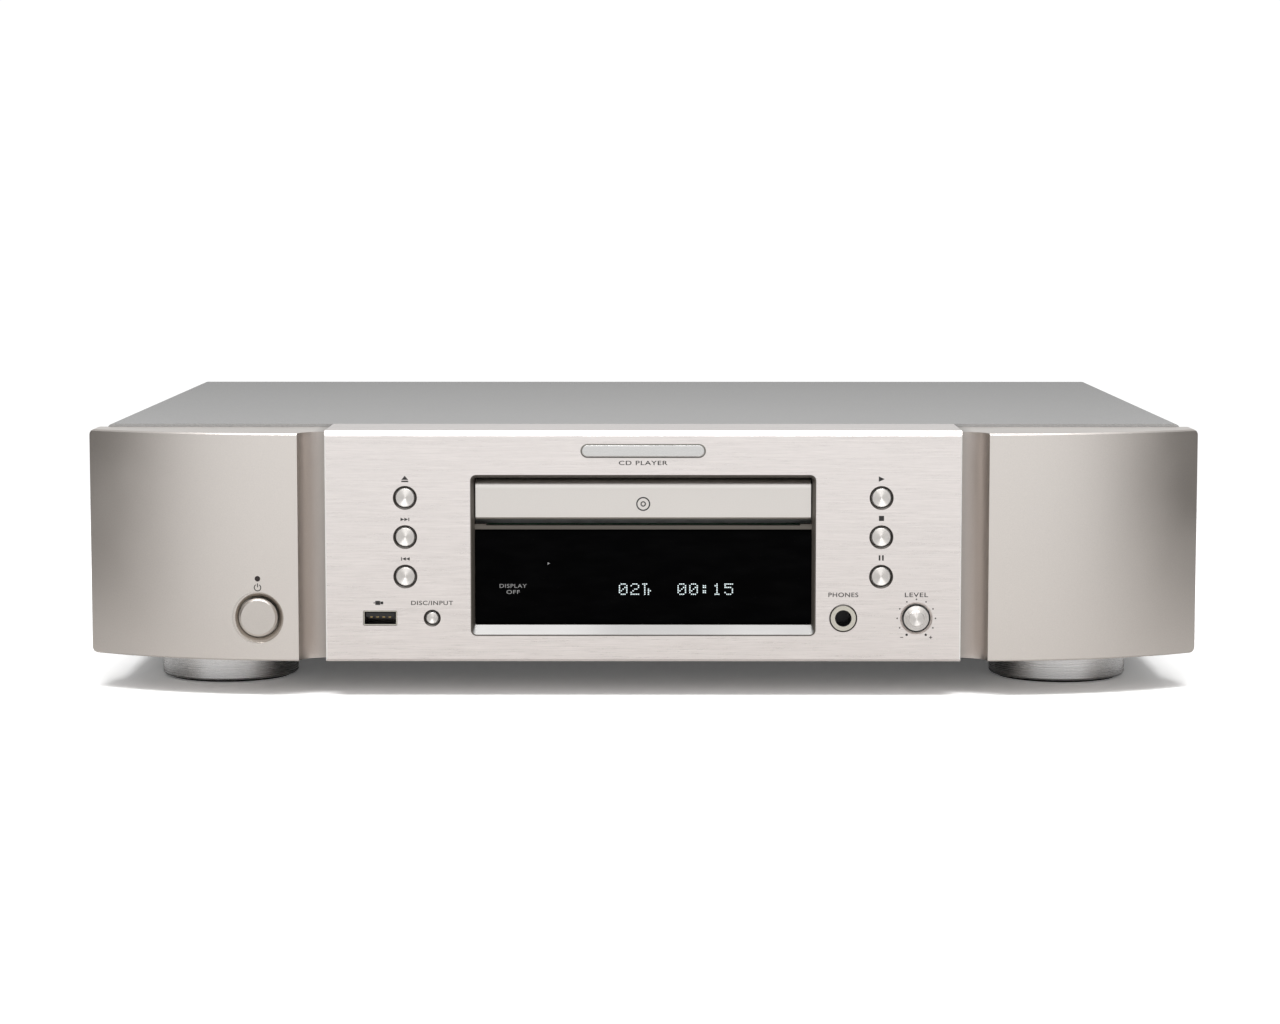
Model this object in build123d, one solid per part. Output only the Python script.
from build123d import *
import math
import os

# Full-size hi-fi CD player, closed and at rest: tray in, deck lowered.
# Millimetres. X to the right, -Y to the front, +Z up. The origin is on the surface that the
# player stands on, under the middle of its outline.

# ---- overall sizes
width = 440.0            # across the two wings
depth = 341.0            # level knob's face to the ends of the line sockets
height = 105.0           # standing surface to the top of the cover

# ---- shell
foot_height = 15.0
foot_radius = 27.7
foot_from_side = 50.0    # centre of a foot, in from the side of a wing
front_depth = 38.5       # panel face to the front edge of the cover
cover_step = 5.0         # cover's side, in from the side of a wing
cover_wall = 1.2
sheet = 1.2              # chassis and rear panel
jack_reach = 12.5        # line socket's end, out from the rear panel
knob_proud = 2.0
gap = 0.2                # between shell pieces
screw_radius = 1.5
screw_play = 0.06
screw_head = 2.9

# ---- centre panel and wings
panel_half = 124.3
panel_wall = 3.0
panel_flange = 2.0
panel_bottom = 14.4
panel_top_bevel = 2.0
panel_bottom_bevel = 1.0
panel_side_bevel = 0.5
wing_inner = 135.0       # where a wing's front face begins
wing_sweep = 25.0        # how far a wing's front face runs back at its outer edge
wing_wall = 2.5
wing_bottom = 14.5
wing_drop = 1.1          # wing's top, below the cover's top
wing_corner = 2.3
wing_edge = 0.6

# ---- disc and tray widths
disc_recess = 60.6       # for a 120 mm disc
small_recess = 40.6      # for an 80 mm disc
tray_half = disc_recess + 2.4
rail_half = tray_half + 2.4

# ---- window, tray door and display
window_low = 24.5
window_high = 87.8
window_corner = 2.3
bezel_side = 1.5         # bezel's slope, seen from the front
opening_half = rail_half + 0.6    # inside of the bezel, behind its slopes: the tray passes
window_half = opening_half + bezel_side
sill_rise = 4.0
bezel_slope = 3.0        # depth of the bezel's slopes
door_low = 70.1
door_high = window_high - 1.8
door_thick = 5.0
door_round = 3.8
door_gap = 0.4
door_half = opening_half - door_gap
ledge_low = 66.2         # bar between the door and the display
ledge_high = ledge_low + 1.4
lens_thick = 3.0
tube_half = opening_half - 6.0
tube_low = window_low + 6.5
tube_high = ledge_low - 2.7
tube_thick = 6.8

# ---- front controls
button_x = 93.0
button_rows = [78.8, 63.4, 47.9]
button_radius = 3.65
button_play = 0.35
button_hole = button_radius + button_play
button_sink = 0.7        # countersink round a button's hole
button_recess = 0.4
button_travel = 0.8
input_x = -82.6
input_radius = 2.3
input_hole = input_radius + button_play
row_z = 31.5             # height of the lower row of controls
usb_x = -103.0
usb_wide = 13.4
usb_high = 6.0
phones_x = 78.3
phones_ring = 5.5
phones_bore = 3.25
phones_depth = 14.0
level_x = 106.9
level_base = 4.9
level_step = level_base - 1.0
level_face = level_step - 0.8
level_hole = level_base + 0.7
level_recess = level_hole + 0.8
level_shaft = 1.5
power_x = -151.0
power_radius = 7.6
power_play = 0.45
power_bore = power_radius + power_play
power_ring_radius = power_bore + 2.05
power_travel = 2.5
lamp_z = 46.9
lamp_radius = 1.05
running = 0.05           # radial play of a shaft in its own hole
press_gap = 0.2          # button stem to switch plunger, past the travel

# ---- tray
tray_travel = 140.0
tray_low = 73.5
tray_rim = 81.0
rail_top = tray_rim - 4.0
disc_floor = tray_rim - 5.0
small_floor = disc_floor - 1.0
disc_from_panel = 71.5   # middle of the disc, behind the panel's face, with the tray in
tray_back = -31.0
arm_inner = 57.0

# ---- loading drive
rack_low = 69.8
rack_high = 73.0
gear_module = 1.0
pinion_teeth = 18
wheel_teeth = 26
idler_teeth = 10
backlash = 0.18
pinion_x = -47.0
pinion_y = -110.0
arm_back = pinion_y + tray_travel + 8.0    # rear ends of the tray's side arms
idler_x = -52.0
wheel_low = 65.5
wheel_high = 68.7
pulley_low = 61.0
pulley_high = 64.5
pulley_radius = 11.0
pulley_rim = 1.0
pulley_play = 0.8        # between the pulley's rim and the frame
motor_pulley_radius = 4.0
motor_y = -62.0
post_radius = 1.5

# ---- loader frame
loader_play = 0.4        # between a tray rail and the frame's wall
loader_inner = rail_half + loader_play
loader_wall = 2.0
loader_half = loader_inner + 6.2
loader_front = -128.0
loader_back = arm_back + 7.0
loader_floor = 58.0
loader_top = 84.0
clamper_radius = 14.0
clamper_neck = 9.0
clamper_play = 0.6

# ---- lifting deck, drawn level (raised) and then tilted to rest
hinge_z = 64.0
deck_half = 32.0
deck_front = -120.5
deck_back = -4.0
deck_thick = 2.5
lift_angle = 5.32        # degrees, lowered to raised
pin_length = 5.2
cam_travel = 20.0
cam_thick = 2.2
rod_x = 15.0
rod_radius = 1.25
rod_z = 67.5
lens_start = 23.0        # disc radius under the pickup at rest
pickup_travel = 35.0
sled_module = 0.6
sled_teeth = 16
sled_pinion_teeth = 8
sled_gear_x = -25.5

# ---- rear sockets
line_x = 165.0
line_low = 36.0
line_pitch = 18.0
coax_x = 122.0
optical_x = 142.0
remote_x = 88.0
remote_pitch = 14.0
switch_travel = 3.0
slider_wide = 5.2
inlet_x = -168.0
inlet_z = 50.0
inlet_wide = 25.0
inlet_high = 17.0
inlet_depth = 15.0
board_lift = 6.0
board_thick = 1.6
ribbon_x = 92.0          # flat cable's left edge
ribbon_wide = 14.0

# ---- places worked out from the sizes above
panel_face = -depth / 2 + knob_proud
cover_front = panel_face + front_depth
rear_face = depth / 2 - jack_reach
cover_half = width / 2 - cover_step
base_half = cover_half - cover_wall - gap
base_low = foot_height
floor_top = base_low + sheet
panel_back = panel_face + panel_wall
wing_top = height - wing_drop
foot_x = width / 2 - foot_from_side
foot_front = cover_front + foot_radius + gap
foot_rear = rear_face - foot_radius - 12.0
bracket_front = cover_front - 1.5
bracket_back = cover_front - 0.3
board_front = panel_face + 17.5          # front board, behind the panel
board_back = board_front + board_thick
audio_low = floor_top + board_lift
audio_top = audio_low + board_thick
disc_y = panel_face + disc_from_panel
shift = panel_face + 168.5               # loader's place follows the panel
wing_span = width / 2 - wing_inner
wing_bend = (wing_span ** 2 + wing_sweep ** 2) / (2 * wing_sweep)
scoop_x = panel_half + gap
scoop_radius = wing_inner - scoop_x

pieces = {}


def keep(name, *solids):
    """Store a piece, or a group of alike pieces, under its name."""
    pieces[name] = solids[0] if len(solids) == 1 else Compound(children=list(solids))


def block(x0, x1, y0, y1, z0, z1):
    """A box between two corners, in either order."""
    middle = ((x0 + x1) / 2, (y0 + y1) / 2, (z0 + z1) / 2)
    return Pos(*middle) * Box(abs(x1 - x0), abs(y1 - y0), abs(z1 - z0))


def rod(axis, radius, start, end, a, b):
    """A round bar along an axis, between start and end, at the two other coordinates."""
    bar = Cylinder(radius, abs(end - start))
    middle = (start + end) / 2
    if axis == "x":
        return Pos(middle, a, b) * Rot(0, 90, 0) * bar
    if axis == "y":
        return Pos(a, middle, b) * Rot(90, 0, 0) * bar
    return Pos(a, b, middle) * bar


def front_plane(y):
    """Upright plane at y: sketches on it use X and Z."""
    return Plane(origin=(0, y, 0), x_dir=(1, 0, 0), z_dir=(0, -1, 0))


def prism(sketch, front, back):
    """A sketch in X and Z, run from front to back."""
    return extrude(front_plane(back) * sketch, amount=back - front)


def soft_block(x0, x1, z0, z1, corner, front, back):
    """A block from front to back, rounded where it is seen from the front."""
    middle = Pos((x0 + x1) / 2, (z0 + z1) / 2)
    return prism(middle * RectangleRounded(x1 - x0, z1 - z0, corner), front, back)


def cone_sink(x, z, outer, inner, front, back):
    """A countersink that narrows from front to back."""
    cone = Cone(inner, outer, back - front)
    return Pos(x, (front + back) / 2, z) * Rot(90, 0, 0) * cone


def mirror_x(shape):
    return mirror(shape, about=Plane.YZ)


# ---------------------------------------------------------------- gears

def gear_face(module, teeth, phase):
    """Involute spur gear outline. phase is the angle of one tooth's middle, in radians."""
    pitch = module * teeth / 2
    base = pitch * math.cos(math.radians(20))
    tip = pitch + module
    root = pitch - 1.25 * module
    half = math.pi / (2 * teeth) - backlash * module / (2 * pitch)
    flat = math.tan(math.radians(20)) - math.radians(20)
    steps = 4
    flank = []
    for step in range(steps + 1):
        low = max(base, root)
        radius = low + (tip - low) * step / steps
        roll = math.acos(min(1.0, base / radius))
        flank.append((radius, half + flat - (math.tan(roll) - roll)))
    points = []
    for tooth in range(teeth):
        middle = phase + tooth * 2 * math.pi / teeth
        side = [(root, half + flat)] if root < base else []
        side = side + flank
        left = [(r, middle - a) for r, a in side]
        right = [(r, middle + a) for r, a in reversed(side)]
        points += [(r * math.cos(a), r * math.sin(a)) for r, a in left + right]
    return make_face(Polyline(*points, close=True))


def gear(module, teeth, phase, x, y, z0, z1):
    face = Pos(x, y, z0) * gear_face(module, teeth, phase)
    return extrude(face, amount=z1 - z0)


def rack(module, pitch_x, side, body_x, y_tooth, y0, y1, z0, z1):
    """Toothed bar along Y. side is +1 or -1, the way the teeth point; y_tooth is a tooth's middle."""
    slope = math.tan(math.radians(20))
    step = math.pi * module
    half = step / 4 - backlash * module / 2
    bar = block(body_x, pitch_x - side * 1.25 * module,
                y0, y1, z0, z1)
    first = math.ceil((y0 + step / 2 - y_tooth) / step)
    last = math.floor((y1 - step / 2 - y_tooth) / step)
    for count in range(first, last + 1):
        middle = y_tooth + count * step
        root = 1.25 * module
        tooth = Polyline(
            (pitch_x - side * (root + 0.2 * module), middle - half - root * slope),
            (pitch_x + side * module, middle - half + module * slope),
            (pitch_x + side * module, middle + half - module * slope),
            (pitch_x - side * (root + 0.2 * module), middle + half + root * slope),
            close=True,
        )
        bar += extrude(Pos(0, 0, z0) * make_face(tooth), amount=z1 - z0)
    return bar


def meshed_phase(phase, teeth, other_teeth, angle):
    """Tooth phase of a gear that meshes with another one, seen from it at this angle."""
    part = (angle - phase) / (2 * math.pi / teeth)
    return angle + math.pi - (0.5 - part) * 2 * math.pi / other_teeth


# ---------------------------------------------------------------- shell

def screw_y(x, z, y, way, length=7.0):
    """Pan-head screw along Y. way is +1 when it points to +Y."""
    head = rod("y", screw_head, y, y - way * 1.8, x, z)
    shank = rod("y", screw_radius, y, y + way * length, x, z)
    slot = block(x - 0.35, x + 0.35, y - way * 1.2 - 0.7, y - way * 1.2 + 0.7, z - 2, z + 2)
    cross = block(x - 2, x + 2, y - way * 1.2 - 0.7, y - way * 1.2 + 0.7, z - 0.35, z + 0.35)
    return head + shank - Pos(0, -way * 0.6, 0) * (slot + cross)


def screw_x(x, y, z, way, length=4.0):
    """Pan-head screw along X."""
    turned = Rot(0, 0, -90 * way) * screw_y(0, 0, 0, 1, length)
    return Pos(x, y, z) * turned


def side_screw_places():
    """Where the cover's side screws go, along Y."""
    run = rear_face - cover_front
    return [cover_front + run * part for part in (0.12, 0.5, 0.88)]


def rear_screw_places():
    places = []
    for x in (-base_half + 12, -60, 40, base_half - 12):
        places.append((x, height - 12.0))
    places.append((-60, floor_top + 6))
    places.append((40, floor_top + 6))
    return places


side_screw_z = floor_top + 8.0
audio_x0 = 78.0
audio_y0 = -60.0 + shift
audio_y1 = rear_face - 3.0
power_board_x0 = -base_half + 9.0
power_board_x1 = -86.0
power_board_y0 = cover_front + 14.0
power_board_y1 = power_board_y0 + 84.0
transformer_x = -base_half + 66.0
transformer_y = rear_face - 78.0


def board_corners(x0, x1, y0, y1):
    return [(x, y) for x in (x0 + 5, x1 - 5) for y in (y0 + 5, y1 - 5)]


def foot_places():
    return [(x, y) for x in (-foot_x, foot_x) for y in (foot_front, foot_rear)]


def make_base():
    """Folded steel floor with upturned edges, standoffs and vent slots."""
    front = cover_front + 0.3
    back = rear_face - sheet - gap
    base = block(-base_half, base_half, front, back, base_low, floor_top)
    for side in (-1, 1):
        base += block(side * base_half, side * (base_half - sheet), front, back, floor_top, floor_top + 14)
    base += block(-base_half, base_half, back - sheet, back, floor_top, floor_top + 11)
    base += block(-base_half, base_half, front, front + sheet, floor_top, floor_top + 8)
    boards = board_corners(audio_x0, base_half - 4, audio_y0, audio_y1)
    boards += board_corners(power_board_x0, power_board_x1, power_board_y0, power_board_y1)
    for x, y in boards:
        base += rod("z", 3.2, floor_top, audio_low, x, y)
    for row in range(2):
        for count in range(12):
            x = transformer_x - 44 + count * 8
            y = transformer_y - 26 + row * 52
            base -= block(x - 1.5, x + 1.5, y - 9, y + 9, base_low - 1, floor_top + 1)
    for row in range(2):
        for count in range(10):
            x = 110 + count * 8
            y = 10 + shift + row * 34
            base -= block(x - 1.5, x + 1.5, y - 12, y + 12, base_low - 1, floor_top + 1)
    base -= block(ribbon_x - 3, ribbon_x + ribbon_wide + 3, front - 1, front + sheet + 1,
                  floor_top + 1, floor_top + 9)
    for x, y in foot_places():
        base -= rod("z", screw_radius + screw_play, base_low - 1, floor_top + 1, x, y)
    for y in side_screw_places():
        base -= rod("x", screw_radius + screw_play, -width, width, y, side_screw_z)
    for x, z in rear_screw_places():
        base -= rod("y", screw_radius + screw_play, back - 3, back + 3, x, z)
    keep("base_chassis", base)


def make_cover():
    """Folded lid: top and two sides, open at the front, back and bottom."""
    front = cover_front + 0.1
    low = base_low + 0.5
    outer = soft_block(-cover_half, cover_half, low - 8, height, 2.2, front, rear_face)
    inner = soft_block(-cover_half + cover_wall, cover_half - cover_wall, low - 9, height - cover_wall,
                       1.0, front - 1, rear_face + 1)
    cover = outer - inner - block(-width, width, front - 1, rear_face + 1, low - 20, low)
    for y in side_screw_places():
        cover -= rod("x", screw_radius + screw_play, -width, width, y, side_screw_z)
    keep("top_cover", cover)


def socket_holes():
    """Everything that the rear sockets need cut from the rear panel."""
    front = rear_face - sheet - 1
    back = rear_face + 1
    cuts = []
    for count in range(2):
        cuts.append(rod("y", 5.7, front, back, line_x, line_low + count * line_pitch))
    cuts.append(rod("y", 5.7, front, back, coax_x, line_low))
    cuts.append(block(optical_x - 5.2, optical_x + 5.2, front, back, line_low - 5.2, line_low + 5.2))
    for count in range(2):
        cuts.append(rod("y", 3.4, front, back, remote_x + count * remote_pitch, line_low - 3))
    middle = remote_x + remote_pitch / 2
    cuts.append(block(middle - 5, middle + 5, front, back, line_low + 9, line_low + 14))
    half_wide = inlet_wide / 2 + 1.7
    half_high = inlet_high / 2 + 1.7
    cuts.append(block(inlet_x - half_wide, inlet_x + half_wide, front, back,
                      inlet_z - half_high, inlet_z + half_high))
    return cuts


def make_rear_panel():
    half = base_half - gap
    panel = block(-half, half, rear_face - sheet, rear_face, base_low + 0.7, height - cover_wall - gap)
    for cut in socket_holes():
        panel -= cut
    for count in range(9):
        x = -40 + count * 7
        panel -= block(x - 1.4, x + 1.4, rear_face - 3, rear_face + 3, height - 42, height - 24)
    for x, z in rear_screw_places():
        panel -= rod("y", screw_radius + screw_play, rear_face - 3, rear_face + 3, x, z)
    for side in (-1, 1):
        panel += block(side * half, side * (half - 9), rear_face - 14, rear_face - sheet, height - 22,
                       height - 22 + sheet)
    keep("rear_panel", panel)


def make_bracket():
    """Steel bulkhead behind the front, notched for the tray."""
    low = wing_bottom + wing_wall + gap
    high = wing_top - wing_wall - gap
    half = width / 2 - wing_wall - 3
    plate = block(-half, half, bracket_front, bracket_back, low, high)
    plate -= block(-loader_half, loader_half, bracket_front - 1, bracket_back + 1, ledge_high, high + 1)
    plate -= block(ribbon_x - 6, ribbon_x + ribbon_wide + 6, bracket_front - 1, bracket_back + 1,
                   low - 1, floor_top + 12)
    for x in (-180, -120, 150, 190):
        plate -= rod("y", 9, bracket_front - 1, bracket_back + 1, x, height * 0.66)
    plate -= rod("y", 4, bracket_front - 1, bracket_back + 1, power_x, row_z)
    for side in (-1, 1):
        plate += block(side * 78, side * 88, board_back, bracket_front, height - 24, height - 24 + sheet)
    keep("front_bracket", plate)


def panel_cuts():
    """Holes through the centre panel's wall."""
    front = panel_face - 1
    back = panel_back + 1
    cuts = [soft_block(-window_half, window_half, window_low, window_high, window_corner, front, back)]
    for side in (-1, 1):
        for z in button_rows:
            cuts.append(rod("y", button_hole, front, back, side * button_x, z))
            cuts.append(cone_sink(side * button_x, z, button_hole + button_sink, button_hole,
                                  panel_face, panel_face + button_sink))
    cuts.append(rod("y", input_hole, front, back, input_x, row_z))
    cuts.append(cone_sink(input_x, row_z, input_hole + button_sink, input_hole,
                          panel_face, panel_face + button_sink))
    cuts.append(soft_block(usb_x - usb_wide / 2, usb_x + usb_wide / 2, row_z - usb_high / 2,
                           row_z + usb_high / 2, 0.6, front, back))
    cuts.append(rod("y", phones_ring, front, back, phones_x, row_z))
    cuts.append(rod("y", level_hole, front, back, level_x, row_z))
    cuts.append(cone_sink(level_x, row_z, level_recess, level_hole, panel_face, panel_face + 0.8))
    return cuts


def make_centre_panel():
    """Thick front plate with folded edges all round."""
    profile = Polyline(
        (panel_face + panel_top_bevel, height),
        (cover_front, height),
        (cover_front, height - panel_flange),
        (panel_back, height - panel_flange),
        (panel_back, panel_bottom + panel_flange),
        (cover_front - gap, panel_bottom + panel_flange),
        (cover_front - gap, panel_bottom),
        (panel_face + panel_bottom_bevel, panel_bottom),
        (panel_face, panel_bottom + panel_bottom_bevel),
        (panel_face, height - panel_top_bevel),
        close=True,
    )
    face = Plane(origin=(-panel_half, 0, 0), x_dir=(0, 1, 0), z_dir=(1, 0, 0)) * make_face(profile)
    panel = extrude(face, amount=2 * panel_half)
    for side in (-1, 1):
        panel += block(side * panel_half, side * (panel_half - panel_flange), panel_back - 0.5,
                       cover_front - 3, panel_bottom + panel_flange, height - panel_flange)
        corner = Pos(side * panel_half, panel_face, height / 2) * Rot(0, 0, 45)
        panel -= corner * Box(panel_side_bevel * math.sqrt(2), panel_side_bevel * math.sqrt(2), height * 2)
    for cut in panel_cuts():
        panel -= cut
    keep("centre_panel", panel)


def wing_bend_solid(inset):
    """Round bar that bends the wing's front face, bevelled at its ends where it is the skin."""
    middle = panel_face + wing_bend
    if inset:
        return rod("z", wing_bend - inset, 0, height, wing_inner, middle)
    low = wing_bottom + wing_edge
    high = wing_top - wing_edge
    bar = rod("z", wing_bend, low, high, wing_inner, middle)
    bar += Pos(wing_inner, middle, high + wing_edge / 2) * Cone(wing_bend, wing_bend - wing_edge, wing_edge)
    bar += Pos(wing_inner, middle, low - wing_edge / 2) * Cone(wing_bend - wing_edge, wing_bend, wing_edge)
    return bar


def wing_shape(inset):
    """Right wing's solid outline, drawn inset from its skin on every side but the back."""
    back = cover_front + (10 if inset else 0)
    body = block(scoop_x + inset, width / 2 - inset, panel_face, back,
                 wing_bottom + inset, wing_top - inset)
    scoop = rod("z", scoop_radius + inset, 0, height, scoop_x, panel_face)
    return (body & wing_bend_solid(inset)) - scoop


def make_wings():
    outline = soft_block(-width / 2, width / 2, wing_bottom, wing_top, wing_corner,
                         panel_face - 1, cover_front + 1)
    outer = wing_shape(0) & outline
    wing = outer - wing_shape(wing_wall)
    wing -= block(scoop_x - 1, scoop_x + wing_wall + 1, cover_front - 3, cover_front + 1,
                  wing_bottom + wing_wall, wing_top - wing_wall)
    keep("right_wing", wing)
    left = mirror_x(wing)
    left -= rod("y", power_ring_radius + 0.05, panel_face - 1, panel_face + 20, power_x, row_z)
    left -= rod("y", lamp_radius + 0.05, panel_face - 1, panel_face + 20, power_x, lamp_z)
    keep("left_wing", left)


def make_power_button():
    """Dished ring in the left wing, the button in it, and the switch behind."""
    skin = rod("z", wing_bend - 0.03, 0, height, -wing_inner, panel_face + wing_bend)
    ring = rod("y", power_ring_radius, panel_face, panel_face + 8, power_x, row_z)
    ring += rod("y", power_ring_radius + 2, panel_face + 5.5, panel_face + 8, power_x, row_z)
    ring = ring & skin
    ring -= cone_sink(power_x, row_z, power_ring_radius + 0.4, power_bore, panel_face, panel_face + 3.4)
    ring -= rod("y", power_bore, panel_face - 1, panel_face + 9, power_x, row_z)
    keep("power_ring", ring)

    face = panel_face + 1.3
    cap = rod("y", power_radius, face, face + 9.5, power_x, row_z)
    cap = chamfer(cap.faces().sort_by(Axis.Y)[0].edges(), 0.9)
    stem_end = bracket_front - 6
    cap += rod("y", 2.6, face + 9, stem_end, power_x, row_z)
    cap += rod("y", power_bore + 1.5, panel_face + 8.3, panel_face + 9.8, power_x, row_z)
    keep("power_button", cap)

    switch = block(power_x - 8, power_x + 8, bracket_front - 15, bracket_front, row_z - 7, row_z + 7)
    switch -= rod("y", 3.0, bracket_front - 16, stem_end + power_travel + press_gap, power_x, row_z)
    keep("power_switch", switch)

    lamp_front = panel_face + 0.9
    lamp = rod("y", lamp_radius, lamp_front, lamp_front + 6, power_x, lamp_z)
    lamp += block(power_x - 3, power_x + 3, lamp_front + 5.5, lamp_front + 9, lamp_z - 2.5, lamp_z + 2.5)
    keep("standby_lamp", lamp)


# ---------------------------------------------------------------- front controls

def make_bezel():
    """Frame in the window: sloped sides and sill, a bar between door and display."""
    back = panel_back + 5
    frame = soft_block(-window_half + 0.1, window_half - 0.1, window_low + 0.1, window_high - 0.1,
                       window_corner - 0.1, panel_face + 0.25, back)
    frame += block(-window_half - 3.5, window_half + 3.5, panel_back, back,
                   window_low - 3.5, window_high + 3.5)
    front_middle = (window_low + window_high) / 2
    top = door_high + door_gap
    low = window_low + sill_rise
    wide = Pos(0, front_middle) * RectangleRounded(2 * window_half - 0.8, window_high - window_low - 0.8, 2)
    narrow = Pos(0, (top + low) / 2) * RectangleRounded(2 * opening_half, top - low, 0.5)
    slopes = loft([front_plane(panel_face + 0.2) * wide, front_plane(panel_face + bezel_slope) * narrow])
    frame -= slopes
    inner = panel_face + bezel_slope - 0.01
    frame -= block(-opening_half, opening_half, inner, back + 1, ledge_high, top)
    frame -= block(-opening_half, opening_half, inner, inner + lens_thick + 0.35, low, ledge_low)
    frame -= block(-opening_half + 1.6, opening_half - 1.6, inner, back + 1, low + 1.6, ledge_low - 1.6)
    bar = block(-opening_half - 0.5, opening_half + 0.5, panel_face + bezel_slope + 0.6, back,
                ledge_low, ledge_high)
    frame += bar
    for side in (-1, 1):
        frame += block(side * (opening_half + 0.5), side * (opening_half - 4.5),
                       panel_face + bezel_slope + 0.6, back, ledge_low, ledge_high + 0.5)
    keep("window_bezel", frame)


def make_display():
    front = panel_face + bezel_slope + 0.3
    low = window_low + sill_rise + 0.1
    high = ledge_low - 0.4
    profile = Polyline(
        (front + 1.1, high),
        (front + lens_thick, high),
        (front + lens_thick, low),
        (front + 0.9, low),
        (front, low + 2.2),
        (front, high - 2.7),
        close=True,
    )
    half = opening_half - 0.1
    face = Plane(origin=(-half, 0, 0), x_dir=(0, 1, 0), z_dir=(1, 0, 0)) * make_face(profile)
    lens = extrude(face, amount=2 * half)
    lens = lens & soft_block(-half, half, low, high + 4, 1.4, front - 1, front + lens_thick + 1)
    keep("display_lens", lens)

    glass = block(-tube_half, tube_half, board_front - tube_thick, board_front, tube_low, tube_high)
    glass += block(-tube_half - 3, -tube_half, board_front - 5, board_front - 2, tube_low + 12,
                   tube_high - 12)
    keep("display_tube", glass)


def make_front_board():
    """Circuit board behind the panel, notched for the tray, with its sockets for the switches."""
    half = panel_half - panel_flange - 5
    board = block(-half, half, board_front, board_back, panel_bottom + 6, height - panel_flange - 3)
    board -= block(-loader_half, loader_half, board_front - 1, board_back + 1, ledge_high - 0.6, height)
    for side in (-1, 1):
        board += block(side * 100 - 6, side * 100 + 6, board_back, board_back + 5, row_z + 8, row_z + 14)
    keep("front_board", board)


def button_places():
    names = ["eject_button", "next_button", "previous_button"]
    places = [(name, -button_x, z) for name, z in zip(names, button_rows)]
    names = ["play_button", "stop_button", "pause_button"]
    places += [(name, button_x, z) for name, z in zip(names, button_rows)]
    return places


plunger_tip = board_front - 4.5


def push_button(x, z, radius, hole):
    """Round button: dished face, collar behind the panel and a stem for its switch."""
    face = panel_face + button_recess
    cap = rod("y", radius, face, panel_back + 0.6, x, z)
    cap = fillet(cap.faces().sort_by(Axis.Y)[0].edges(), 0.3)
    cap -= cone_sink(x, z, radius - 0.5, 0.3, face, face + 0.25)
    cap += rod("y", hole + 0.9, panel_back + 0.1, panel_back + 1.3, x, z)
    cap += rod("y", 1.6, panel_back + 1, plunger_tip - button_travel - press_gap, x, z)
    return cap


def make_buttons():
    switches = []
    places = [(name, x, z, button_radius, button_hole) for name, x, z in button_places()]
    places.append(("input_button", input_x, row_z, input_radius, input_hole))
    for name, x, z, radius, hole in places:
        keep(name, push_button(x, z, radius, hole))
        case = block(x - 3, x + 3, board_front - 3.5, board_front, z - 3, z + 3)
        switches.append(case + rod("y", 1.75, plunger_tip, board_front - 3, x, z))
    keep("tact_switches", *switches)


def make_usb_socket():
    """Folded metal shell with the contact tongue inside."""
    half_wide = usb_wide / 2 - 0.15
    half_high = usb_high / 2 - 0.15
    front = panel_face + 0.6
    back = board_front
    shell = soft_block(usb_x - half_wide, usb_x + half_wide, row_z - half_high, row_z + half_high,
                       0.6, front, back)
    wall = 0.35
    shell -= block(usb_x - half_wide + wall, usb_x + half_wide - wall, front - 1, back - 1,
                   row_z - half_high + wall, row_z + half_high - wall)
    tongue = block(usb_x - 5.6, usb_x + 5.6, front + 1.2, back - 0.5, row_z + 0.3, row_z + 2.0)
    contacts = []
    for count in range(4):
        x = usb_x + (count - 1.5) * 2.4
        contacts.append(block(x - 0.5, x + 0.5, front + 1.8, back - 4, row_z + 0.05, row_z + 0.3))
    keep("usb_socket", shell, tongue, *contacts)


def make_phones_socket():
    front = panel_face - 0.4
    ring = rod("y", phones_ring - 0.1, front, panel_back + 1, phones_x, row_z)
    ring = chamfer(ring.faces().sort_by(Axis.Y)[0].edges(), 0.5)
    body = block(phones_x - 6.5, phones_x + 6.5, panel_back + 0.5, board_front, row_z - 6.5, row_z + 6.5)
    jack = ring + body - rod("y", phones_bore, front - 1, front + phones_depth, phones_x, row_z)
    keep("headphone_jack", jack)


def make_level_knob():
    """Stepped knob on a turned shaft, in its control's bushing."""
    face = panel_face - knob_proud
    body = rod("y", level_base, panel_face - 0.2, panel_face + 2.4, level_x, row_z)
    body += rod("y", level_step, face + 0.9, panel_face, level_x, row_z)
    tip = rod("y", level_face, face, panel_face, level_x, row_z)
    tip = fillet(tip.faces().sort_by(Axis.Y)[0].edges(), 0.5)
    knob = body + tip
    for count in range(24):
        angle = math.radians(count * 15)
        x = level_x + (level_step + 0.1) * math.cos(angle)
        z = row_z + (level_step + 0.1) * math.sin(angle)
        knob -= rod("y", 0.22, face, panel_face - 0.4, x, z)
    knob -= block(level_x - 0.25, level_x + 0.25, face - 1, face + 0.3, row_z + 0.8, row_z + 4.2)
    knob += rod("y", level_shaft, panel_face + 2, board_front - 5, level_x, row_z)
    keep("level_knob", knob)

    control = block(level_x - 6, level_x + 6, board_front - 7, board_front, row_z - 6, row_z + 6)
    control += rod("y", 3.6, panel_face + 4.2, board_front - 6.5, level_x, row_z)
    control -= rod("y", level_shaft + running, panel_face, board_front - 4.5, level_x, row_z)
    keep("level_control", control)


# ---------------------------------------------------------------- tray

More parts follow.
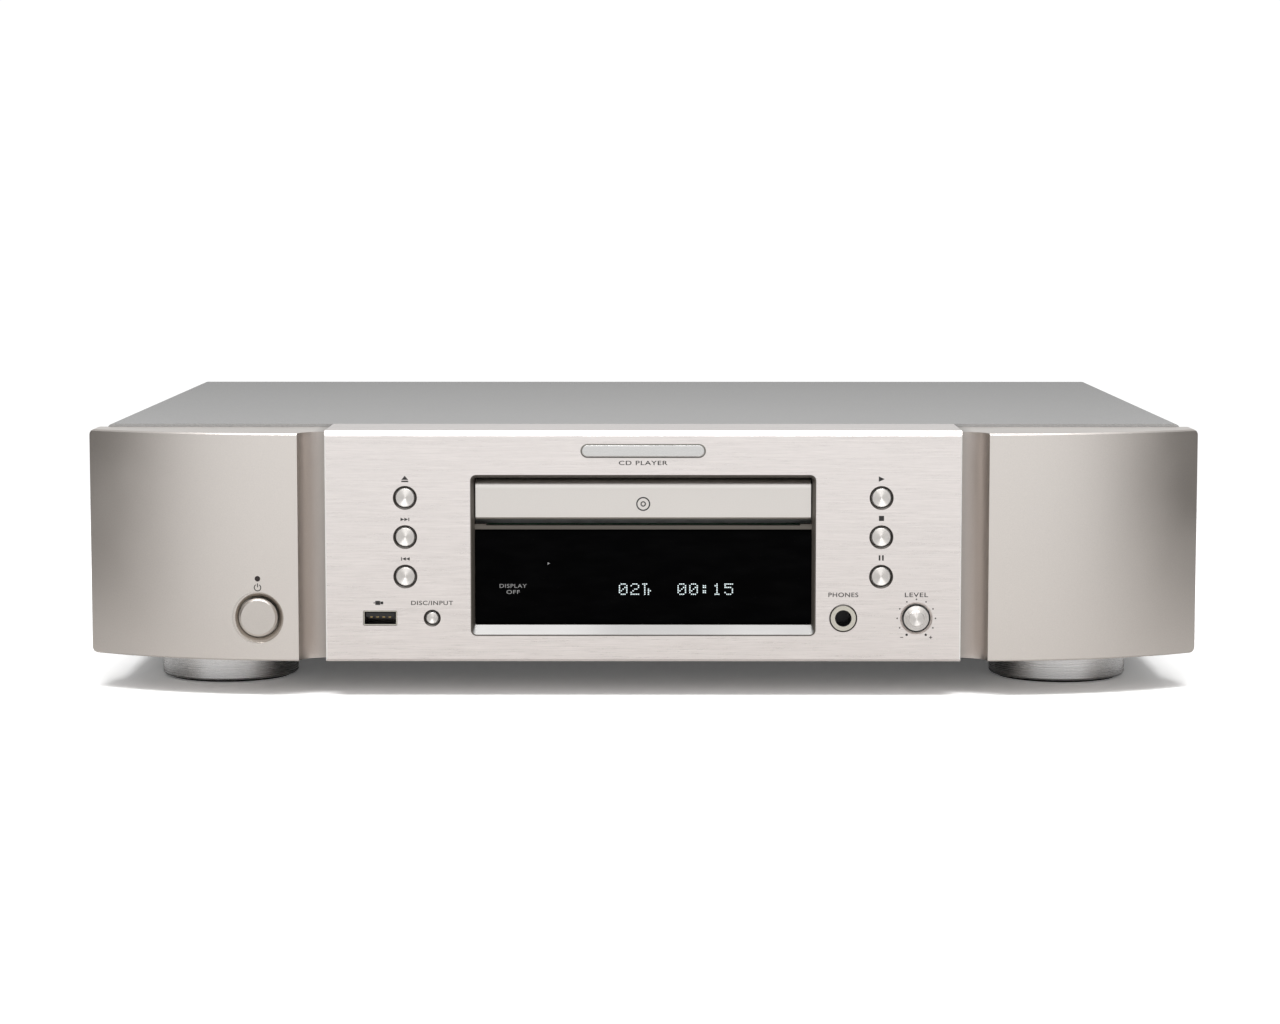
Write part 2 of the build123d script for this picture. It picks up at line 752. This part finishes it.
def make_tray():
    """Disc tray with stepped recesses, a slot for the deck, side rails and the drive rack."""
    front = panel_face + bezel_slope + 0.1 + door_thick
    tray = block(-tray_half, tray_half, front, tray_back + shift, tray_low, tray_rim)
    for side in (-1, 1):
        tray += block(side * tray_half, side * rail_half, front, arm_back + shift, tray_low, rail_top)
        tray += block(side * arm_inner, side * rail_half, tray_back + shift - 1, arm_back + shift,
                      tray_low, rail_top)
    tray -= rod("z", disc_recess, disc_floor, tray_rim + 1, 0, disc_y)
    tray -= rod("z", small_recess, small_floor, tray_rim + 1, 0, disc_y)
    tray -= rod("z", 19, tray_low - 1, tray_rim, 0, disc_y)
    tray -= block(-13, 13, disc_y, tray_back + shift - 2.5, tray_low - 1, tray_rim - 2.5)
    for angle in (35, 145):
        x = disc_recess * math.cos(math.radians(angle))
        y = disc_y - disc_recess * math.sin(math.radians(angle))
        tray -= rod("z", 9, disc_floor, tray_rim + 1, x, y)
    y_tooth = pinion_y + shift + math.pi * gear_module / 2
    pitch_x = pinion_x - gear_module * pinion_teeth / 2
    bar = rack(gear_module, pitch_x, 1, pitch_x - 6, y_tooth, pinion_y + shift - 6,
               pinion_y + shift + tray_travel + 6, rack_low, rack_high)
    bar += block(pitch_x - 6, pitch_x - 1.25 * gear_module, pinion_y + shift - 6,
                 pinion_y + shift + tray_travel + 6, rack_high - 0.1, tray_low + 0.1)
    keep("disc_tray", tray + bar)

    door = block(-door_half, door_half, front - door_thick, front, door_low, door_high)
    face = front - door_thick
    top = [edge for edge in door.edges().filter_by(Axis.X)
           if edge.center().Y < face + 0.1 and edge.center().Z > door_high - 0.1]
    door = fillet(top, door_round)
    low = [edge for edge in door.edges().filter_by(Axis.X)
           if edge.center().Y < face + 0.1 and edge.center().Z < door_low + 0.1]
    door = chamfer(low, 0.8)
    keep("tray_door", door)


# ---------------------------------------------------------------- loading drive

pinion_place = (pinion_x, pinion_y + shift)
mesh_distance = gear_module * (wheel_teeth + idler_teeth) / 2
idler_place = (idler_x, pinion_place[1] + math.sqrt(mesh_distance ** 2 - (idler_x - pinion_x) ** 2))
motor_place = (idler_x, motor_y + shift)


def make_loading_drive():
    """Motor, belt, pulley with its small gear, and the wheel with the tray's pinion."""
    x, y = pinion_place
    post = rod("z", post_radius + running, 0, height, x, y)
    wheel_phase = 0.0
    wheel = gear(gear_module, wheel_teeth, wheel_phase, x, y, wheel_low, wheel_high)
    pinion = gear(gear_module, pinion_teeth, math.pi, x, y, rack_low, rack_high)
    neck = rod("z", 6, wheel_high - 0.1, rack_low + 0.1, x, y)
    keep("drive_gear", wheel + neck + pinion - post)

    angle = math.atan2(idler_place[1] - y, idler_place[0] - x)
    phase = meshed_phase(wheel_phase, wheel_teeth, idler_teeth, angle)
    x, y = idler_place
    idler = gear(gear_module, idler_teeth, phase, x, y, wheel_low, wheel_high)
    groove = (pulley_low + pulley_high) / 2
    pulley = rod("z", pulley_radius + pulley_rim, pulley_low, pulley_high, x, y)
    pulley -= rod("z", pulley_radius + 2 * pulley_rim, groove - 0.9, groove + 0.9, x, y) - rod(
        "z", pulley_radius, groove - 1, groove + 1, x, y)
    for count in range(5):
        turn = math.radians(count * 72 + 20)
        pulley -= rod("z", 1.9, pulley_low - 1, pulley_high + 1, x + 7.4 * math.cos(turn),
                      y + 7.4 * math.sin(turn))
    hub = rod("z", 3.6, pulley_high - 0.1, wheel_low + 0.1, x, y)
    keep("pulley_gear", idler + hub + pulley - rod("z", post_radius + running, 0, height, x, y))

    x, y = motor_place
    small = rod("z", motor_pulley_radius + pulley_rim, pulley_low, pulley_high, x, y)
    small -= rod("z", motor_pulley_radius + 2 * pulley_rim, groove - 0.9, groove + 0.9, x, y) - rod(
        "z", motor_pulley_radius, groove - 1, groove + 1, x, y)
    small -= block(x - 0.4, x + 0.4, y + 2, y + 7, pulley_high - 0.8, pulley_high + 1)
    small += rod("z", 1.0, loader_floor - 8, pulley_low + 0.1, x, y)
    keep("motor_pulley", small)

    motor = rod("z", 12, loader_floor - 17, loader_floor, x, y)
    motor -= rod("z", 1.0 + running, loader_floor - 9, loader_floor + 1, x, y)
    for side in (-1, 1):
        motor += block(x + side * 6 - 1, x + side * 6 + 1, y - 0.3, y + 0.3, loader_floor - 21,
                       loader_floor - 16.9)
    keep("loading_motor", motor)

    play = 0.12
    run = motor_place[1] - idler_place[1]
    lean = math.asin((pulley_radius - motor_pulley_radius) / run)
    belt = Part()
    for grow, cut in ((play + 1.0, False), (play, True)):
        big = pulley_radius + grow
        little = motor_pulley_radius + grow
        corners = [
            (x - big * math.cos(lean), idler_place[1] + big * math.sin(lean)),
            (x - little * math.cos(lean), y + little * math.sin(lean)),
            (x + little * math.cos(lean), y + little * math.sin(lean)),
            (x + big * math.cos(lean), idler_place[1] + big * math.sin(lean)),
        ]
        low, high = (groove - 1, groove + 1) if cut else (groove - 0.6, groove + 0.6)
        loop = extrude(Pos(0, 0, low) * make_face(Polyline(*corners, close=True)), amount=high - low)
        loop += rod("z", big, low, high, x, idler_place[1])
        loop += rod("z", little, low, high, x, y)
        belt = belt - loop if cut else loop
    keep("drive_belt", belt)


# ---------------------------------------------------------------- loader frame

leg_places = [(x, y + shift) for x in (-66.0, 66.0) for y in (-120.0, 38.0)]


def make_loader_frame():
    """Plastic frame: side floors, walls with tray guides, posts, deck bearings, legs."""
    front = loader_front + shift
    back = loader_back + shift
    ledge_top = tray_low - 0.2
    frame = block(-loader_half, loader_half, back - 8, back, loader_floor, loader_floor + 2)
    frame += block(-loader_half, loader_half, front, front + 2, loader_floor - 10, ledge_high)
    for side in (-1, 1):
        frame += block(side * (deck_half + 2.4), side * loader_half, front, back, loader_floor,
                       loader_floor + 2)
        frame += block(side * loader_inner, side * (loader_inner + loader_wall), front, back,
                       loader_floor, loader_top)
        frame += block(side * (loader_inner + 0.5), side * 62.8, front, back, ledge_top - 2, ledge_top)
        for y in (-122, -70, -18, 40):
            frame += block(side * (loader_inner + 0.5), side * (tray_half + 0.5), y + shift - 4,
                           y + shift + 4, rail_top + 0.3, rail_top + 2)
            frame += block(side * (loader_inner + 1), side * loader_half, y + shift - 1, y + shift + 1,
                           loader_floor, loader_top - 6)
        frame += block(side * (deck_half + 2.4), side * (deck_half + 6), shift - 4, shift + 4,
                       loader_floor, hinge_z + 4)
        frame -= rod("x", post_radius + running, -60, 60, shift, hinge_z)
    frame += block(-42, 42, front + 1.9, front + 6.5, loader_floor - 10, loader_floor - 8)
    for side in (-1, 1):
        frame += block(side * 38, side * 42, front + 1.9, front + 6.5, loader_floor - 8, loader_floor + 1)
    frame += block(-loader_half, -60, front, front + 2, ledge_high - 1, ledge_high)
    relief = pulley_radius + pulley_rim + pulley_play
    frame -= rod("z", relief, loader_floor + 2, pulley_high + 0.5, *idler_place)
    for x, y in leg_places:
        frame += rod("z", 3.0, floor_top + 4, loader_floor + 0.5, x, y)
    for x, y, top in ((*pinion_place, tray_low - 0.4), (*idler_place, wheel_high + 0.3)):
        frame += rod("z", post_radius, loader_floor + 1, top, x, y)
    boss = rod("z", 4, loader_floor + 1, wheel_low - 0.3, *pinion_place)
    boss -= rod("z", post_radius - 0.5, loader_floor + 1, wheel_low, *pinion_place)
    frame += boss - rod("z", relief, loader_floor + 2, pulley_high + 0.5, *idler_place)
    frame -= rod("z", 2.2, loader_floor - 1, loader_floor + 3, *motor_place)
    keep("loader_frame", frame)

    dampers = []
    for x, y in leg_places:
        damper = rod("z", 6, floor_top, floor_top + 4, x, y)
        damper += rod("z", 4.2, floor_top + 3.9, floor_top + 8, x, y)
        dampers.append(damper - rod("z", 3.0, floor_top + 4, floor_top + 9, x, y))
    keep("damper_mounts", *dampers)


def make_clamper():
    """Bridge over the tray, and the loose clamping disc that hangs in it."""
    bridge = block(-loader_half + 1, loader_half - 1, disc_y - 16, disc_y + 16, loader_top,
                   loader_top + 1.5)
    bridge += block(-40, 40, disc_y - 16, disc_y + 16, loader_top, loader_top + 4)
    bridge -= rod("z", clamper_radius + 2, loader_top - 1, loader_top + 2, 0, disc_y)
    bridge -= rod("z", clamper_neck + clamper_play, loader_top - 1, loader_top + 5, 0, disc_y)
    for side in (-1, 1):
        bridge += block(side * 55 - 1, side * 55 + 1, disc_y - 16, disc_y + 16, loader_top, loader_top + 4)
    keep("clamper_bridge", bridge)

    low = tray_rim + 1.9
    clamper = rod("z", clamper_radius, low, loader_top + 1.4, 0, disc_y)
    clamper += rod("z", clamper_neck, loader_top + 1.3, loader_top + 4.8, 0, disc_y)
    clamper += rod("z", clamper_neck + 3, loader_top + 4.6, loader_top + 6, 0, disc_y)
    clamper -= rod("z", 7.6, low - 1, low + 1.2, 0, disc_y)
    keep("clamper", clamper)


# ---------------------------------------------------------------- lifting deck

def lowered(shape):
    """Tilt a piece of the deck from level to its lowered place, about the rear hinge."""
    hinge = Pos(0, shift, hinge_z)
    back = Pos(0, -shift, -hinge_z)
    return hinge * Rot(lift_angle, 0, 0) * back * shape


def keep_lowered(name, *solids):
    keep(name, *[lowered(solid) for solid in solids])


sled_y = disc_y + lens_start + pickup_travel / 2
sled_place = (sled_gear_x, sled_y)
sled_pinion_place = (sled_gear_x, sled_y - sled_module * (sled_teeth + sled_pinion_teeth) / 2)


def make_deck():
    """Moulded deck plate with rod holders, hinge pins and the lifting pin."""
    top = hinge_z + deck_thick
    front = deck_front + shift
    back = deck_back + shift
    deck = block(-deck_half, deck_half, front, back, hinge_z, top)
    deck += block(-deck_half, deck_half, front, front + 2, hinge_z - 3, top + 3)
    for side in (-1, 1):
        deck += block(side * deck_half, side * (deck_half - 1.5), front, back, hinge_z - 3, top)
        deck += block(side * deck_half, side * (deck_half - 6), back - 1, shift + 3, hinge_z - 3,
                      hinge_z + 3)
        deck += rod("x", post_radius, side * deck_half, side * (deck_half + 5.6), shift, hinge_z)
    deck -= block(-20, 20, disc_y + 14, back - 9, hinge_z - 4, top + 1)
    deck -= block(-22.4, -17.7, disc_y + 2.5, back - 9, hinge_z - 4, top + 1)
    deck -= rod("z", 6.5, hinge_z - 1, top + 1, 0, disc_y)
    deck += rod("y", post_radius, front - pin_length, front + 1, 0, hinge_z + 2)
    for side in (-1, 1):
        for y in (disc_y + 14, back - 9):
            block_y = (y - 3, y) if y < sled_y else (y, y + 3)
            deck += block(side * rod_x - 2.6, side * rod_x + 2.6, *block_y, hinge_z, rod_z + 2.2)
        deck -= rod("y", rod_radius, disc_y + 12, back - 7, side * rod_x, rod_z)
    sled_hole = rod("z", 0.8 + running, hinge_z - 1, top + 1, *sled_pinion_place)
    deck -= sled_hole
    deck += rod("z", 1.2, top - 0.1, top + 3.4, *sled_place)
    keep_lowered("traverse_frame", deck)

    rods = []
    for side in (-1, 1):
        rods.append(rod("y", rod_radius, disc_y + 12, back - 7, side * rod_x, rod_z))
    keep_lowered("guide_rods", *rods)

    spindle = rod("z", 12, hinge_z - 7, hinge_z, 0, disc_y)
    spindle -= rod("z", 1.0 + running, hinge_z - 6, hinge_z + 1, 0, disc_y)
    sled = rod("z", 6, hinge_z - 10, hinge_z, *sled_pinion_place)
    sled -= rod("z", 0.8 + running, hinge_z - 7, hinge_z + 1, *sled_pinion_place)
    sled -= block(-deck_half - 3, -deck_half + 1.6, -200, 200, hinge_z - 3.1, hinge_z + 1)
    keep_lowered("traverse_motors", spindle, sled)


def make_turntable():
    """Disc platter with its centring hub, on the spindle motor's shaft."""
    platter = tray_rim - 1.4
    table = rod("z", 15, platter - 2, platter, 0, disc_y)
    table -= rod("z", 12.6, platter - 0.4, platter + 1, 0, disc_y)
    table += rod("z", 7.4, platter - 1, platter + 0.6, 0, disc_y)
    table += Pos(0, disc_y, platter + 1.0) * Cone(7.4, 5.6, 0.8)
    table -= rod("z", 3.2, platter + 1.0, platter + 2, 0, disc_y)
    table += rod("z", 3.5, hinge_z + deck_thick + 3, platter - 1.9, 0, disc_y)
    table += rod("z", 1.0, hinge_z - 5, platter - 1, 0, disc_y)
    keep_lowered("turntable", table)


def make_pickup():
    """Laser pickup on its rods, with the lens tower and the sled rack."""
    y = disc_y + lens_start
    low = hinge_z + 0.8
    top = rod_z + 2.5
    body = block(-18, 18, y - 9, y + 9, low, top)
    for side in (-1, 1):
        body -= rod("y", rod_radius + running, y - 10, y + 10, side * rod_x, rod_z)
    tower_top = tray_rim - 5.0
    body += block(-8, 8, y - 5, y + 5, top - 0.1, tower_top)
    body -= rod("z", 3.6, tower_top - 1.2, tower_top + 1, 0, y)
    body += rod("z", 2.8, tower_top - 1.3, tower_top + 1.2, 0, y)
    pitch_x = sled_gear_x + sled_module * sled_teeth / 2
    reach = pickup_travel / 2 + 3
    y_tooth = sled_y + math.pi * sled_module / 2
    body += rack(sled_module, pitch_x, -1, -17.9, y_tooth, y - reach, y + reach, rod_z - 0.9, rod_z + 0.9)
    keep_lowered("pickup", body)


def make_sled_gears():
    x, y = sled_place
    low = rod_z - 0.9
    wheel = gear(sled_module, sled_teeth, 0.0, x, y, low, low + 1.8)
    keep_lowered("sled_gear", wheel - rod("z", 1.2 + running, 0, height, x, y))
    phase = meshed_phase(0.0, sled_teeth, sled_pinion_teeth, -math.pi / 2)
    x, y = sled_pinion_place
    pinion = gear(sled_module, sled_pinion_teeth, phase, x, y, low, low + 1.8)
    pinion += rod("z", 0.8, hinge_z - 6.5, low + 0.1, x, y)
    keep_lowered("sled_pinion", pinion)


def make_cam():
    """Sliding plate whose sloped slot lifts the deck's front pin."""
    front = deck_front + shift - 1.9 - cam_thick
    pin_high = hinge_z + 2
    turn = math.radians(lift_angle)
    reach = -deck_front + pin_length / 2
    pin_low = hinge_z + 2 * math.cos(turn) - reach * math.sin(turn)
    half = post_radius + 0.4
    plate = block(-31, 11, front, front + cam_thick, loader_floor - 7.7, pin_high + half + 2.2)
    slope = math.atan2(pin_high - pin_low, -cam_travel)
    across = (half * math.sin(slope), -half * math.cos(slope))
    corners = [
        (0 + across[0], pin_low + across[1]),
        (-cam_travel + across[0], pin_high + across[1]),
        (-cam_travel - across[0], pin_high - across[1]),
        (0 - across[0], pin_low - across[1]),
    ]
    plate -= prism(make_face(Polyline(*corners, close=True)), front - 1, front + cam_thick + 1)
    plate -= rod("y", half, front - 1, front + cam_thick + 1, 0, pin_low)
    plate -= rod("y", half, front - 1, front + cam_thick + 1, -cam_travel, pin_high)
    keep("cam_slider", plate)


# ---------------------------------------------------------------- electronics

def make_boards():
    audio = block(audio_x0, base_half - 4, audio_y0, audio_y1, audio_low, audio_top)
    keep("audio_board", audio)
    power = block(power_board_x0, power_board_x1, power_board_y0, power_board_y1, audio_low, audio_top)
    keep("power_board", power)

    def can(x, y, radius, tall):
        body = rod("z", radius, audio_top, audio_top + tall, x, y)
        return body - rod("z", radius - 1.0, audio_top + tall - 0.3, audio_top + tall + 1, x, y)

    def chip(x, y, wide, long, tall=2.4):
        return block(x - wide / 2, x + wide / 2, y - long / 2, y + long / 2, audio_top, audio_top + tall)

    parts = []
    for count in range(4):
        x = power_board_x0 + 18 + (count % 2) * 24
        y = power_board_y0 + 24 + (count // 2) * 26
        parts.append(can(x, y, 9, 32))
    for count in range(3):
        parts.append(can(power_board_x1 - 40 + count * 14, power_board_y0 + 20, 5, 18))
    fins = block(power_board_x1 - 44, power_board_x1 - 8, power_board_y1 - 26, power_board_y1 - 22,
                 audio_top, audio_top + 34)
    for count in range(9):
        x = power_board_x1 - 43 + count * 4.25
        fins += block(x, x + 1.2, power_board_y1 - 22.1, power_board_y1 - 10, audio_top, audio_top + 34)
    parts.append(fins)
    for count in range(3):
        x = power_board_x1 - 38 + count * 12
        parts.append(block(x - 5, x + 5, power_board_y1 - 31, power_board_y1 - 26, audio_top + 8,
                           audio_top + 24))
    parts.append(chip(150, audio_y0 + 30, 14, 14))
    parts.append(chip(112, audio_y0 + 36, 10, 18))
    parts.append(chip(176, audio_y0 + 64, 8, 10))
    for row in range(2):
        for count in range(6):
            parts.append(can(104 + count * 16, audio_y0 + 92 + row * 22, 4.2, 12))
    for count in range(8):
        parts.append(chip(98 + count * 13, audio_y0 + 72, 4, 7, 8))
    keep("board_components", *parts)


def make_transformer():
    """Laminated core with its winding, on a strap."""
    x, y, low = transformer_x, transformer_y, floor_top
    core = block(x - 33, x + 33, y - 14, y + 14, low, low + 56)
    for side in (-1, 1):
        core -= block(x + side * 11, x + side * 22, y - 15, y + 15, low + 11, low + 45)
        core += block(x + side * 33, x + side * 44, y - 10, y + 10, low, low + 2)
    core = core - rod("z", screw_radius + 0.2, low - 1, low + 3, x - 39, y)
    core = core - rod("z", screw_radius + 0.2, low - 1, low + 3, x + 39, y)
    coil = soft_block(x - 21.6, x + 21.6, low + 11.4, low + 44.6, 2, y - 26, y + 26)
    coil -= block(x - 11.2, x + 11.2, y - 14.3, y + 14.3, low, low + 60)
    keep("transformer", core, coil)


def make_ribbon():
    """Flat cable from the front board, through the bulkhead, to the audio board."""
    half = 0.4
    start = (board_back + 5.6, row_z + 11)
    low_z = floor_top + 3
    path = FilletPolyline(
        start,
        (board_back + 9, row_z + 11),
        (board_back + 9, low_z),
        (audio_y0 + 8, low_z),
        (audio_y0 + 8, audio_low - 0.8),
        radius=1.6,
    )
    side_plane = Plane(origin=(ribbon_x, 0, 0), x_dir=(0, 1, 0), z_dir=(1, 0, 0))
    section = side_plane * trace(path, line_width=2 * half)
    keep("ribbon_cable", extrude(section, amount=ribbon_wide))


# ---------------------------------------------------------------- rear

def phono(x, z, front):
    """Round line socket: sleeve, collar and insulated centre."""
    sleeve = rod("y", 4.15, front, depth / 2, x, z) + rod("y", 5.5, rear_face - sheet, rear_face + 2, x, z)
    sleeve -= rod("y", 3.5, front - 1, depth / 2 + 1, x, z)
    centre = rod("y", 3.5, front, depth / 2 - 3.5, x, z)
    centre -= rod("y", 1.65, depth / 2 - 12, depth / 2, x, z)
    return sleeve, centre


def make_rear_sockets():
    inside = rear_face - sheet
    back = inside - 12
    solids = []
    for count in range(2):
        solids += phono(line_x, line_low + count * line_pitch, inside - 2)
    solids.append(block(line_x - 8, line_x + 8, back, inside - 2, audio_top, line_low + line_pitch + 9))
    keep("line_out_jacks", *solids)

    solids = list(phono(coax_x, line_low, inside - 2))
    solids.append(block(coax_x - 7, coax_x + 7, back, inside - 2, audio_top, line_low + 8))
    for count in range(2):
        x = remote_x + count * remote_pitch
        jack = rod("y", 3.2, inside - 2, rear_face + 1, x, line_low - 3)
        jack += block(x - 5, x + 5, back, inside - 1.9, audio_top, line_low + 2)
        solids.append(jack - rod("y", 1.8, back + 1, rear_face + 2, x, line_low - 3))
    middle = remote_x + remote_pitch / 2
    half = slider_wide / 2 + switch_travel / 2 + 0.5
    case = block(middle - 7, middle + 7, inside - 7, inside - 0.2, line_low + 7, line_low + 16)
    case -= block(middle - half, middle + half, inside - 5, inside + 1, line_low + 9.4, line_low + 13.6)
    case += block(middle - 2, middle + 2, inside - 7, inside - 5, audio_top, line_low + 7.1)
    solids.append(case)
    keep("digital_jacks", *solids)

    left = middle - (slider_wide + switch_travel) / 2
    slider = block(left, left + slider_wide, inside - 4.6, inside - 1, line_low + 9.8, line_low + 13.2)
    slider += block(left + 1.1, left + 3.7, inside - 1.1, rear_face + 0.8, line_low + 10, line_low + 13)
    keep("remote_switch", slider)

    case = block(optical_x - 5, optical_x + 5, back, rear_face + 0.8, line_low - 5, line_low + 5)
    case += block(optical_x - 6.5, optical_x + 6.5, back, inside - 2, audio_top, line_low + 6.5)
    case -= block(optical_x - 3.4, optical_x + 3.4, back + 2, rear_face + 1, line_low - 3.4, line_low + 3.4)
    case -= rod("x", 0.5, optical_x - 4, optical_x + 4, rear_face, line_low + 2.6)
    keep("optical_socket", case)
    flap = block(optical_x - 3.1, optical_x + 3.1, rear_face - 0.35, rear_face + 0.25,
                 line_low - 3.0, line_low + 2.6)
    flap += rod("x", 0.45, optical_x - 3.9, optical_x + 3.9, rear_face, line_low + 2.6)
    keep("optical_shutter", flap)


def make_inlet():
    """Mains inlet for a detachable cord: flanged cup with its two blades."""
    wide, high = inlet_wide / 2, inlet_high / 2
    cup = soft_block(inlet_x - wide - 1.5, inlet_x + wide + 1.5, inlet_z - high - 1.5, inlet_z + high + 1.5,
                     2, rear_face - inlet_depth - 1, rear_face + 0.5)
    cup += soft_block(inlet_x - wide - 4, inlet_x + wide + 4, inlet_z - high - 4, inlet_z + high + 4,
                      2.5, rear_face, rear_face + 2)
    cup -= soft_block(inlet_x - wide, inlet_x + wide, inlet_z - high, inlet_z + high, 3,
                      rear_face + 2 - inlet_depth, rear_face + 3)
    blades = []
    for side in (-1, 1):
        x = inlet_x + side * 7
        cup -= block(x - 1, x + 1, rear_face - inlet_depth - 2, rear_face, inlet_z - 2, inlet_z + 2)
        blades.append(block(x - 1, x + 1, rear_face - inlet_depth - 8, rear_face - 1, inlet_z - 2,
                            inlet_z + 2))
    keep("mains_inlet", cup, *blades)


# ---------------------------------------------------------------- feet and screws

def make_feet():
    feet = []
    pads = []
    for x, y in foot_places():
        foot = rod("z", foot_radius, 1.0, base_low, x, y)
        foot = chamfer(foot.faces().sort_by(Axis.Z)[0].edges(), 0.7)
        foot -= rod("z", foot_radius - 3, 0, 2.4, x, y)
        foot -= rod("z", foot_radius - 5, 2, 9, x, y) - rod("z", 8, 1, 10, x, y)
        foot -= rod("z", screw_radius + screw_play, 4, base_low + 1, x, y)
        feet.append(foot)
        pads.append(rod("z", foot_radius - 3.1, 0, 2.4, x, y) - rod("z", foot_radius - 12, -1, 3, x, y))
    keep("feet", *feet)
    keep("foot_pads", *pads)


def make_screws():
    screws = []
    for y in side_screw_places():
        for side in (-1, 1):
            screws.append(screw_x(side * cover_half, y, side_screw_z, -side))
    for x, z in rear_screw_places():
        screws.append(screw_y(x, z, rear_face, -1, 3.2 if z > floor_top + 20 else 5.0))
    for x, y in foot_places():
        screws.append(Pos(x, y, floor_top) * Rot(-90, 0, 0) * screw_y(0, 0, 0, 1, 8.0))
    keep("screws", *screws)


def main():
    make_base()
    make_cover()
    make_rear_panel()
    make_bracket()
    make_centre_panel()
    make_wings()
    make_power_button()
    make_bezel()
    make_display()
    make_front_board()
    make_buttons()
    make_usb_socket()
    make_phones_socket()
    make_level_knob()
    make_tray()
    make_loading_drive()
    make_loader_frame()
    make_clamper()
    make_deck()
    make_turntable()
    make_pickup()
    make_sled_gears()
    make_cam()
    make_boards()
    make_transformer()
    make_ribbon()
    make_rear_sockets()
    make_inlet()
    make_feet()
    make_screws()
    os.makedirs("parts", exist_ok=True)
    for name, piece in pieces.items():
        export_step(piece, f"parts/{name}.step")


main()
